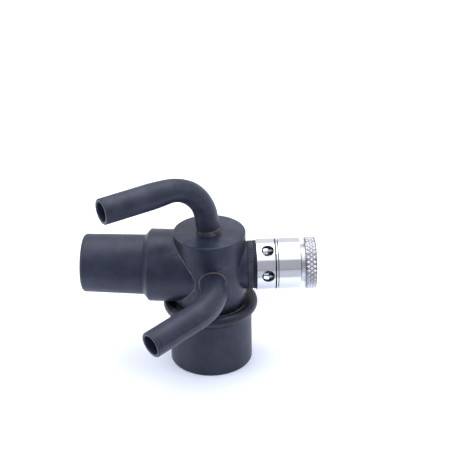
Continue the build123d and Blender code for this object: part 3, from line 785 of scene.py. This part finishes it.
# ---------------------------------------------------------------- rubber pieces
@dataclass
class GasTube:
    """A moulded tube: a straight root, a flattened bend and a straight run with a rolled lip."""

    name: str
    node: str
    root: Vector
    corner: Vector
    end: Vector
    bend: float
    root_r: float
    bend_in_r: float
    bend_out_r: float
    run_r: float = 4.97 * MM
    bore_r: float = 3.7 * MM
    lip: float = 0.5 * MM
    groove: float = 0.1 * MM
    flash: float = 0.1 * MM
    segments: int = 96
    root_steps: int = 10
    bend_steps: int = 32
    run_steps: int = 24
    lip_steps: int = 6
    mouth_steps: int = 5
    flatten: float = 0.35  # share of the root where flattening starts, and of the bend where it is full
    recover: float = 0.25  # share of the bend, at its end, over which it starts to turn round again
    recover_run: float = 7 * MM  # and how far into the run it is round
    plain_end: float = 2.6 * MM  # from the tip to where the lip's waist begins
    bore_end: float = 1.0 * MM  # from the tip to the bore's last ring
    marks: tuple[float, float, float] = field(init=False, default=(0.0, 0.0, 0.0))

    def stations(self) -> list[tuple[Vector, Vector, Vector, float]]:
        """Walks the path.

        Returns:
            Point, direction, bend-plane normal and distance for each station.
        """
        entry = (self.corner - self.root).normalized()
        leave = (self.end - self.corner).normalized()
        turn = entry.angle(leave)
        setback = self.bend * math.tan(turn / 2)
        arc_start, arc_end = self.corner - entry * setback, self.corner + leave * setback
        normal = entry.cross(leave).normalized()
        hinge = arc_start + normal.cross(entry).normalized() * self.bend
        first, second = (arc_start - self.root).length, (self.end - arc_end).length
        out = []
        for k in range(self.root_steps):
            share = k / self.root_steps
            out.append((self.root.lerp(arc_start, share), entry, normal, first * k / self.root_steps))
        for k in range(self.bend_steps + 1):
            spin = Matrix.Rotation(turn * k / self.bend_steps, 3, normal)
            spot = hinge + spin @ (arc_start - hinge)
            out.append((spot, spin @ entry, normal, first + self.bend * turn * k / self.bend_steps))
        bent = first + self.bend * turn
        for k in range(1, self.run_steps + 1):
            share = k / self.run_steps
            out.append((arc_end.lerp(self.end, share), leave, normal, bent + second * k / self.run_steps))
        self.marks = (first, bent, bent + second)
        return out

    def radii(self, distance: float) -> tuple[float, float]:
        """Finds the radius in the bend's plane and across it.

        Args:
            distance: how far along the path.

        Returns:
            Both radii, eased from root to bend and from bend to run.
        """
        first, second, _ = self.marks
        bend = second - first
        into = self.ease((distance - self.flatten * first) / ((1 - self.flatten) * first + self.flatten * bend))
        ending = self.recover * bend
        out_of = self.ease((distance - second + ending) / (ending + self.recover_run))
        flat = self.root_r + (self.bend_in_r - self.root_r) * into
        wide = self.root_r + (self.bend_out_r - self.root_r) * into
        return flat + (self.run_r - flat) * out_of, wide + (self.run_r - wide) * out_of

    @staticmethod
    def ease(share: float) -> float:
        """Eases a share from 0 to 1.

        Args:
            share: how far along, held between 0 and 1.

        Returns:
            The eased share.
        """
        share = min(1.0, max(0.0, share))
        return share * share * (3 - 2 * share)

    def skin(self) -> list[tuple[Vector, Vector, Vector, float, float, int]]:
        """Lists the rings of the closed skin: outside, lip, then back through the bore.

        Returns:
            Centre, direction, plane normal, both radii and the finish number of each ring.
        """
        walk = self.stations()
        tip, way, normal, length = walk[-1]
        rim = self.run_r
        rings = [(p, w, n, *self.radii(d), 0) for p, w, n, d in walk if d < length - self.plain_end]
        waist = ((2.2, 0.0), (1.75, 0.0), (1.5, 0.25), (1.3, 1.0), (1.1, 0.25), (0.85, 0.0))
        for back, share in waist:
            radius = rim - self.groove * share
            rings.append((tip - way * back * MM, way, normal, radius, radius, 0))
        for k in range(self.lip_steps + 1):
            angle = math.pi / 2 * k / self.lip_steps
            radius = rim - self.lip * (1 - math.cos(angle))
            spot = tip - way * self.lip * (1 - math.sin(angle))
            rings.append((spot, way, normal, radius, radius, 1))
        inner = min(self.lip * 0.7, rim - self.bore_r - self.lip)
        for k in range(self.mouth_steps + 1):
            angle = math.pi / 2 * (1 - k / self.mouth_steps)
            radius = self.bore_r + inner * (1 - math.cos(angle))
            spot = tip - way * inner * (1 - math.sin(angle))
            rings.append((spot, way, normal, radius, radius, 1 if k < self.mouth_steps - 1 else 2))
        for p, w, n, d in reversed([station for station in walk if station[3] < length - self.bore_end]):
            rings.append((p, w, n, self.bore_r, self.bore_r, 2))
        return rings

    def build(self, *finishes: Material) -> Piece:
        """Makes the tube's wall, lip and bore as one closed skin with a mould line along each side.

        Args:
            *finishes: the outside's, the lip's and the bore's.

        Returns:
            The tube.
        """
        rings = self.skin()
        points, faces, marks = [], [], []
        for p, w, n, flat, wide, mark in rings:
            across = n.cross(w).normalized()
            for k in range(self.segments):
                angle = 2 * math.pi * k / self.segments
                ridge = self.flash if mark == 0 and k % (self.segments // 2) == 0 else 0.0
                offset = across * (flat + ridge) * math.cos(angle) + n * wide * math.sin(angle)
                points.append(p + offset)
        count = len(rings)
        for i in range(count):
            a, b = i * self.segments, ((i + 1) % count) * self.segments
            for k in range(self.segments):
                j = (k + 1) % self.segments
                faces.append([a + k, a + j, b + j, b + k])
                marks.append(rings[(i + 1) % count][5])
        piece = mesh_object(self.name, points, faces)
        for face, mark in zip(piece.data.polygons, marks):
            face.material_index = mark
        finish_faces(piece, *finishes)
        return place(piece, Body.MANIFOLD, Slot.RUBBER, self.node)


@dataclass
class RubberShell:
    """The chamber, its socket, its branches and the cement that joins them."""

    finishes: Finishes
    nodes: dict[str, Piece]
    hose_heading: float = math.radians(172.6)
    hose_set_back: float = 0.8 * MM
    upper_foot: tuple[float, float] = (0.0, 0.7 * MM)
    upper_lean: tuple[float, float, float] = (-3.45 * MM, 0.13 * MM, 20.45 * MM)
    upper_reach: tuple[float, float, float] = (-35.7 * MM, -18.2 * MM, -1.75 * MM)
    front_side: float = 0.6 * MM
    front_rise: float = 0.3 * MM
    front_out: float = 14.8 * MM
    front_drop: float = 0.2 * MM
    front_reach: tuple[float, float, float] = (-23.4 * MM, -17.6 * MM, -4.9 * MM)
    front_root_r: float = 4.6 * MM
    steps: int = 160
    chamber_r: float = field(init=False)
    hose_z: float = field(init=False)
    sleeve_r: float = field(init=False)
    port_r: float = field(init=False)
    port_z: float = field(init=False)
    collar_top: float = field(init=False)
    top: float = field(init=False)
    front_z: float = field(init=False)

    def __post_init__(self) -> None:
        """Reads the shell's main sizes from the CAD boxes."""
        low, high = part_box("main_chamber")
        self.chamber_r = high.x
        low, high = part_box("hose_cone")
        self.hose_z = (high.z + low.z) / 2
        self.sleeve_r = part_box("hose_sleeve")[1].z - self.hose_z
        low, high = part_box("valve_port")
        self.port_r, self.port_z = (high.z - low.z) / 2, (high.z + low.z) / 2
        self.collar_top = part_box("base_collar")[1].z
        self.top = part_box("top_cap")[1].z
        self.front_z = self.hose_z + self.front_rise

    def dress(self) -> None:
        """Gives the CAD rubber pieces their finishes."""
        finish = self.finishes
        looks = {
            "main_chamber": finish.chamber,
            "base_socket": finish.socket,
            "base_collar": finish.collar,
            "hose_sleeve": finish.sleeve,
            "hose_cone": finish.rubber,
            "valve_port": finish.port,
            "front_tube_patch": finish.lip,
            "upper_tube_collar": finish.lip,
            "top_cap": finish.cap,
        }
        for name, material in looks.items():
            dress_node(self.nodes[name], material)

    def tubes(self) -> None:
        """Makes both gas tubes along the CAD tubes' paths."""
        # The lip's finish carries a painted highlight and the bore's is painted shade.
        looks = (self.finishes.tube, self.finishes.rim, self.finishes.bore)
        foot = Vector((*self.upper_foot, self.top))
        lean = Vector(self.upper_lean)
        corner = foot + lean
        GasTube(
            "upper_tube",
            "upper_gas_tube",
            root=foot - lean.normalized() * 5.9 * MM,
            corner=corner,
            end=corner + Vector(self.upper_reach),
            bend=15.2 * MM,
            root_r=4.56 * MM,
            bend_in_r=4.35 * MM,
            bend_out_r=4.45 * MM,
        ).build(*looks)
        start = Vector((self.front_side, 0, self.front_z))
        corner = Vector((self.front_side, -self.chamber_r - self.front_out, self.front_z - self.front_drop))
        entry = (corner - start).normalized()
        GasTube(
            "front_tube",
            "front_gas_tube",
            root=start + entry * 9.6 * MM,
            corner=corner,
            end=corner + Vector(self.front_reach),
            bend=18.5 * MM,
            root_r=self.front_root_r,
            bend_in_r=4.98 * MM,
            bend_out_r=5.05 * MM,
        ).build(*looks)

    def sleeve_seam(self) -> list[Vector]:
        """Finds the line where the sleeve's outside meets the chamber's.

        Returns:
            The closed line's points.
        """
        way = Vector((math.cos(self.hose_heading), math.sin(self.hose_heading), 0))
        side = way.cross(Vector((0, 0, 1)))
        start = Vector((0, self.hose_set_back, self.hose_z))
        line = []
        for k in range(self.steps):
            angle = 2 * math.pi * k / self.steps
            lift = Vector((0, 0, math.sin(angle) * self.sleeve_r))
            base = start + side * math.cos(angle) * self.sleeve_r + lift
            flat = Vector((base.x, base.y, 0))
            half = flat.dot(way)
            gap = half * half - flat.length_squared + self.chamber_r**2
            station = -half + math.sqrt(gap) if gap > 0 else 0.0
            line.append(base + way * max(station, 0.0))
        return line

    def ring(self, radius: float, height: float) -> list[Vector]:
        """Draws a level circle round the chamber's axis.

        Args:
            radius: the circle's radius.
            height: its height.

        Returns:
            The closed line's points.
        """
        angles = [2 * math.pi * k / self.steps for k in range(self.steps)]
        return [Vector((radius * math.cos(a), radius * math.sin(a), height)) for a in angles]

    def saddle(self, radius: float, middle: Vector, outward: Vector) -> list[Vector]:
        """Finds the line where a level round branch leaves the chamber.

        Args:
            radius: the branch's radius.
            middle: a point on its axis above or beside the chamber's axis.
            outward: the way it runs.

        Returns:
            The closed line's points.
        """
        side = outward.cross(Vector((0, 0, 1)))
        offset = middle.dot(side)
        line = []
        for k in range(self.steps):
            angle = 2 * math.pi * k / self.steps
            across = offset + radius * math.cos(angle)
            reach = math.sqrt(max(self.chamber_r**2 - across**2, 0.0))
            line.append(side * across + outward * reach + Vector((0, 0, middle.z + radius * math.sin(angle))))
        return line

    def seams(self) -> None:
        """Lays the cement beads."""
        tree = bead_tree()
        front = Vector((self.front_side, 0, self.front_z))
        port = Vector((0, 0, self.port_z))
        lines = {
            "sleeve_seam": (self.sleeve_seam(), 0.3 * MM, 1.0),
            "collar_seam": (self.ring(self.chamber_r + 0.12 * MM, self.collar_top - 1.2 * MM), 0.24 * MM, 2.0),
            "port_seam": (self.saddle(self.port_r, port, Vector((1, 0, 0))), 0.2 * MM, 3.0),
            "root_seam": (self.saddle(self.front_root_r + 0.42 * MM, front, Vector((0, -1, 0))), 0.26 * MM, 4.0),
        }
        for name, (line, radius, seed) in lines.items():
            count = len(line)
            piece = mesh_object(name, line, [], [(k, (k + 1) % count) for k in range(count)])
            sizes = {
                "Bead Radius": radius,
                "Wander": 0.45,
                "Lump": 2.2 * MM,
                "Seed": seed,
                # The port's bead takes the rim finish: a painted highlight along it.
                "Material": self.finishes.rim if name == "port_seam" else self.finishes.cement,
            }
            grow(piece, tree, sizes)
            finish_faces(piece, sizes["Material"])
            place(piece, Body.MANIFOLD, Slot.CEMENT)

    def build(self) -> None:
        """Dresses and makes the whole shell."""
        self.dress()
        self.tubes()
        self.seams()


# ---------------------------------------------------------------- valve
def dress_node(node: Piece, material: Material) -> None:
    """Gives a CAD node a finish and smooth shading; its own mesh stays as it is.

    Args:
        node: the CAD node's object.
        material: its finish.
    """
    if not node.material_slots:
        node.data.materials.append(material)
    for slot in node.material_slots:
        slot.link = "OBJECT"
        slot.material = material
    tree = bpy.data.node_groups.get("welded_and_smooth") or welded_tree()
    modifier = node.modifiers.new("welded_and_smooth", "NODES")
    modifier.node_group = tree
    LOG.info("%s is dressed in %s", node.name, material.name)


@dataclass
class ReliefValve:
    """The valve: port, body, bonnet, spring and the knurled knob."""

    finishes: Finishes
    nodes: dict[str, Piece]
    disc_lift: float
    crest: float = 0.42 * MM
    bevel: float = 0.5 * MM
    tang_r: float = 5.37 * MM
    tang_depth: float = 2.9 * MM
    band_crest: float = 0.16 * MM
    band_core: float = 7.58 * MM
    groove: float = 0.38 * MM
    groove_depth: float = 0.9 * MM
    ring_core: float = 8.9 * MM
    wire_r: float = 0.3 * MM
    turns: int = 7
    lower_turns: int = 3
    rim_width: float = 3.4 * MM
    dish_depth: float = 0.35 * MM
    dish_slope: float = 0.4 * MM
    knob_diamonds: tuple[int, int] = (36, 3)  # round the knob, and rows along it
    band_diamonds: tuple[int, int] = (48, 3)
    axis_z: float = field(init=False)
    knob_at: tuple[float, float, float] = field(init=False)
    band_at: tuple[float, float, float] = field(init=False)
    ring_at: tuple[float, float, float] = field(init=False)

    def __post_init__(self) -> None:
        """Reads the valve's main sizes from the CAD boxes."""
        low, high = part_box("control_knob")
        self.axis_z = (low.z + high.z) / 2
        self.knob_at = self.extent(low, high)
        low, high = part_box("port_band")
        self.band_at = self.extent(low, high)
        low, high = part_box("lock_ring")
        self.ring_at = self.extent(low, high)

    @staticmethod
    def extent(low: Vector, high: Vector) -> tuple[float, float, float]:
        """Measures a piece that was turned about the valve's axis.

        Args:
            low: its box's lowest corner.
            high: its box's highest corner.

        Returns:
            Where it starts along X, its length and its radius.
        """
        return low.x, high.x - low.x, (high.z - low.z) / 2

    def centre(self, station: float) -> Vector:
        """Gives the point on the valve's axis at a station."""
        return Vector((station, 0, self.axis_z))

    def dress(self) -> None:
        """Gives the CAD pieces of the valve their finishes."""
        finish = self.finishes
        looks = {
            "port_insert": finish.brass,
            "sealing_washer": finish.soft_black,
            "valve_body": finish.aluminium,
            "valve_seat": finish.plastic,
            "bonnet": finish.bright_aluminium,
            "disc_facing": finish.soft_black,
            "valve_disc": finish.inner_aluminium,
            "disc_stem": finish.steel,
            "spring_cup": finish.inner_aluminium,
            "adjusting_screw": finish.inner_aluminium,
            "screw_stop_ring": finish.steel,
        }
        for name, material in looks.items():
            dress_node(self.nodes[name], material)

    def knob(self, tree: Tree) -> None:
        """Turns the knob's blank and rolls its diamond knurl; the outer faces take the knurl finish, whose valleys
        hold painted shade, and the inner faces the machined finish.

        Args:
            tree: the knurl's node tree.
        """
        start, length, radius = self.knob_at
        crest, bevel, dish = self.crest, self.bevel, radius - self.rim_width
        outline = rounded(
            [
                (0, self.tang_r),
                (0, radius - bevel),
                (bevel, radius - crest * 0.8),
                (length - bevel, radius - crest * 0.8),
                (length, radius - bevel),
                (length, dish + self.dish_slope),
                (length - self.dish_depth, dish),
                (length - self.dish_depth, 0),
                (self.tang_depth, 0),
                (self.tang_depth, self.tang_r),
            ],
            {1: 0.2 * MM, 4: 0.25 * MM, 5: 0.15 * MM},
        )
        piece = turned("knurled_knob", self.centre(start), outline, self.finishes.knurl)
        sizes = {
            "Centre": self.centre(start + bevel * 1.3),
            "Radius": radius - crest,
            "Width": length - bevel * 2.2,
            "Height": crest,
            "Around": self.knob_diamonds[0],
            "Rows": self.knob_diamonds[1],
            "Material": self.finishes.knurl,
        }
        grow(piece, tree, sizes)
        piece.data.materials.clear()
        piece.data.materials.append(self.finishes.knurl)
        piece.data.materials.append(self.finishes.inner_aluminium)
        for face in piece.data.polygons:
            offset = face.center - self.centre(0)
            face.material_index = int(math.hypot(offset.y, offset.z) < radius - 2 * crest)
        place(piece, Body.KNOB, Slot.ALUMINIUM, "control_knob")

    def band(self, tree: Tree) -> None:
        """Turns the black band and rolls its finer diamonds.

        Args:
            tree: the knurl's node tree.
        """
        start, length, radius = self.band_at
        crest = self.band_crest
        outline = rounded(
            [
                (0, self.band_core),
                (0, radius - 2 * crest),
                (0.3 * MM, radius - crest),
                (length - 0.2 * MM, radius - crest),
                (length, radius - 2 * crest),
                (length, self.band_core),
            ],
            {2: 0.2 * MM, 3: 0.2 * MM},
        )
        piece = turned("diamond_band", self.centre(start), outline, self.finishes.band)
        sizes = {
            "Centre": self.centre(start + 0.35 * MM),
            "Radius": radius - crest * 1.05,
            "Width": length - 0.7 * MM,
            "Height": crest,
            "Around": self.band_diamonds[0],
            "Rows": self.band_diamonds[1],
            "Material": self.finishes.band,
        }
        grow(piece, tree, sizes)
        place(piece, Body.MANIFOLD, Slot.BAND, "port_band")

    def locking_ring(self) -> None:
        """Turns the locking ring with a deep groove at each side, its faces in painted shade, which reads as a dark
        line.
        """
        start, length, radius = self.ring_at
        groove, floor, inside = self.groove, radius - self.groove_depth, self.ring_core - 0.03 * MM
        outline = rounded(
            [
                (0, inside),
                (0, floor),
                (groove, floor),
                (groove, radius),
                (length - groove * 0.8, radius),
                (length - groove * 0.8, floor),
                (length, floor),
                (length, inside),
            ],
            {3: 0.1 * MM, 4: 0.1 * MM},
        )
        piece = turned("locking_ring", self.centre(start), outline, self.finishes.aluminium)
        # The groove faces take the near-black nitrile finish: painted shade.
        piece.data.materials.append(self.finishes.soft_black)
        for face in piece.data.polygons:
            middle = face.center - self.centre(0)
            if math.hypot(middle.y, middle.z) < radius - 0.2 * MM:
                face.material_index = 1
        place(piece, Body.MANIFOLD, Slot.ALUMINIUM, "lock_ring")

    def coil(self, tree: Tree, name: str, station: float, length: float, turns: int) -> Piece:
        """Winds one stretch of the spring.

        Args:
            tree: the coil's node tree.
            name: the piece's name.
            station: where it starts along the valve's axis.
            length: its length.
            turns: its turns.

        Returns:
            The coil.
        """
        low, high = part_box("valve_spring")
        piece = mesh_object(name, [], [])
        sizes = {
            "Start": self.centre(station),
            "Turns": float(turns),
            "Coil Radius": (high.z - low.z) / 2 - self.wire_r,
            "Length": length,
            "Wire Radius": self.wire_r,
            "Material": self.finishes.steel,
        }
        return grow(piece, tree, sizes)

    def spring(self) -> None:
        """Winds the spring in two stretches: the first rides on the manifold, the second is left in place on no body.
        """
        tree = coil_tree()
        low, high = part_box("valve_spring")
        first = low.x + self.wire_r
        total = high.x - low.x - 2 * self.wire_r
        lower = total * self.lower_turns / self.turns
        middle = self.centre(first + lower)
        foot = self.coil(tree, "spring_foot", first, lower, self.lower_turns)
        place(foot, Body.MANIFOLD, Slot.STAINLESS, "valve_spring")
        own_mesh(foot)
        head = self.coil(tree, "spring_head", middle.x, total - lower, self.turns - self.lower_turns)
        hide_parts("valve_spring")
        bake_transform(head)

    def build(self) -> None:
        """Dresses and makes the whole valve."""
        tree = knurl_tree()
        self.dress()
        self.knob(tree)
        self.band(tree)
        self.locking_ring()
        self.spring()


# ---------------------------------------------------------------- studio
@dataclass
class Studio:
    """A pale floor, a soft white tent and a long-lens camera."""

    azimuth: float = math.radians(-2.44)
    elevation: float = math.radians(28.32)
    roll: float = -0.013
    spot: tuple[float, float, float] = (-12.92 * MM, -495.6 * MM, 321.75 * MM)
    lens: float = 116.88
    floor_half: float = 3.0
    # where the grey reflection-only card of painted shade ends, nearest the object
    shade_card_edge: float = -0.06
    tooth: float = 1 / 900
    walls: tuple[float, float, float, float] = (0.94, 0.96, 1.0, 1.0)
    opening: tuple[float, float, float, float] = (0.5, 0.512, 0.562, 1.0)
    roof: tuple[float, float, float, float] = (1.55, 1.58, 1.7, 1.0)

    def camera(self) -> None:
        """Places the camera."""
        data = bpy.data.cameras.new("camera")
        data.lens, data.sensor_width = self.lens, 36.0
        data.clip_start, data.clip_end = 0.01, 20.0
        eye = bpy.data.objects.new("camera", data)
        bpy.context.scene.collection.objects.link(eye)
        turn = Matrix.Rotation(self.azimuth, 4, "Z") @ Matrix.Rotation(math.pi / 2 - self.elevation, 4, "X")
        eye.matrix_world = Matrix.Translation(self.spot) @ turn @ Matrix.Rotation(self.roll, 4, "Z")
        bpy.context.scene.camera = eye

    def paper(self, name: str, colour: str, glow: float) -> Material:
        """Makes matt paper with a faint tooth.

        Args:
            name: the material's name.
            colour: its sRGB hex colour.
            glow: how much light it gives off itself.

        Returns:
            The material.
        """
        material, tree, where = new_material(name)
        look = {
            "Base Color": linear(colour),
            "Roughness": 0.8,
            "Normal": bump(tree, noise(tree, where, self.tooth, 2.0), 0.1, 0.02 * MM),
            "Emission Color": linear("#dde4ff"),
            "Emission Strength": glow,
        }
        close_material(tree, look)
        return material

    def floor(self) -> None:
        """Lays a floor that glows a little, and over it a greyer card that only shows in reflections: painted shade
        in the reflected floor.
        """
        half = self.floor_half
        corners = [(-half, -half, 0), (half, -half, 0), (half, half, 0), (-half, half, 0)]
        sheet = mesh_object("floor", corners, [[0, 1, 2, 3]])
        sheet.data.materials.append(self.paper("white_paper", "#eef1fb", 0.16))
        # A grey card seen only in reflections: painted shade where the floor is reflected.
        near, far, height = self.shade_card_edge, -half, 0.5 * MM
        corners = [(-half, far, height), (half, far, height), (half, near, height), (-half, near, height)]
        shade_card = mesh_object("shade_card", corners, [[0, 1, 2, 3]])
        shade_card.data.materials.append(self.paper("reflection_shade_grey", "#b4b6be", 0.0))
        shade_card.visible_camera = shade_card.visible_diffuse = shade_card.visible_shadow = False

    def tent(self) -> None:
        """Lights from all round: brightest overhead, with a grey opening low in front."""
        world = bpy.data.worlds.new("tent")
        bpy.context.scene.world = world
        world.use_nodes = True
        tree = world.node_tree
        tree.nodes.clear()
        where = add_node(tree, "ShaderNodeTexCoord").outputs["Generated"]
        axes = add_node(tree, "ShaderNodeSeparateXYZ", {0: where}).outputs
        front = remap(tree, axes["Y"], -0.35, -0.7, way="SMOOTHSTEP")
        high = remap(tree, axes["Z"], 0.68, 0.73, way="SMOOTHSTEP")
        skirting = remap(tree, axes["Z"], 0.02, 0.035, 0.35, 1.0)
        low = calculate(tree, "SUBTRACT", 1.0, high)
        side = mix(tree, calculate(tree, "MULTIPLY", front, low), self.walls, self.opening)
        light = {"Color": mix(tree, high, side, self.roof), "Strength": skirting}
        add_node(tree, "ShaderNodeOutputWorld", {"Surface": flow(tree, "ShaderNodeBackground", light)})

    def lamps(self) -> None:
        """Hangs a wide soft light overhead and a smaller one at each side."""
        for name, spot, size, power in (
            ("overhead", (0.0, 0.15, 0.9), 0.9, 4.0),
            ("left_panel", (-0.9, -0.2, 0.5), 0.6, 1.2),
            ("right_panel", (0.9, -0.2, 0.5), 0.6, 0.6),
        ):
            data = bpy.data.lights.new(name, "AREA")
            data.shape, data.size, data.energy = "SQUARE", size, power
            lamp = bpy.data.objects.new(name, data)
            bpy.context.scene.collection.objects.link(lamp)
            aim = Vector((0, 0, 0.04)) - Vector(spot)
            lamp.matrix_world = Matrix.Translation(spot) @ aim.to_track_quat("-Z", "Y").to_matrix().to_4x4()

    def build(self) -> None:
        """Sets the whole studio and plain colour management."""
        self.camera()
        self.floor()
        self.tent()
        self.lamps()
        bpy.context.scene.view_settings.view_transform = "Standard"


def main() -> None:
    finishes = Finishes()
    RubberShell(finishes, frame["nodes"]).build()
    lift = next(joint for joint in frame["joints"] if joint["name"] == "disc_lift")["range_m"][1]
    ReliefValve(finishes, frame["nodes"], disc_lift=lift).build()
    Studio().build()


if __name__ == "__main__":
    logging.basicConfig(level=logging.INFO, format="%(message)s")
    main()
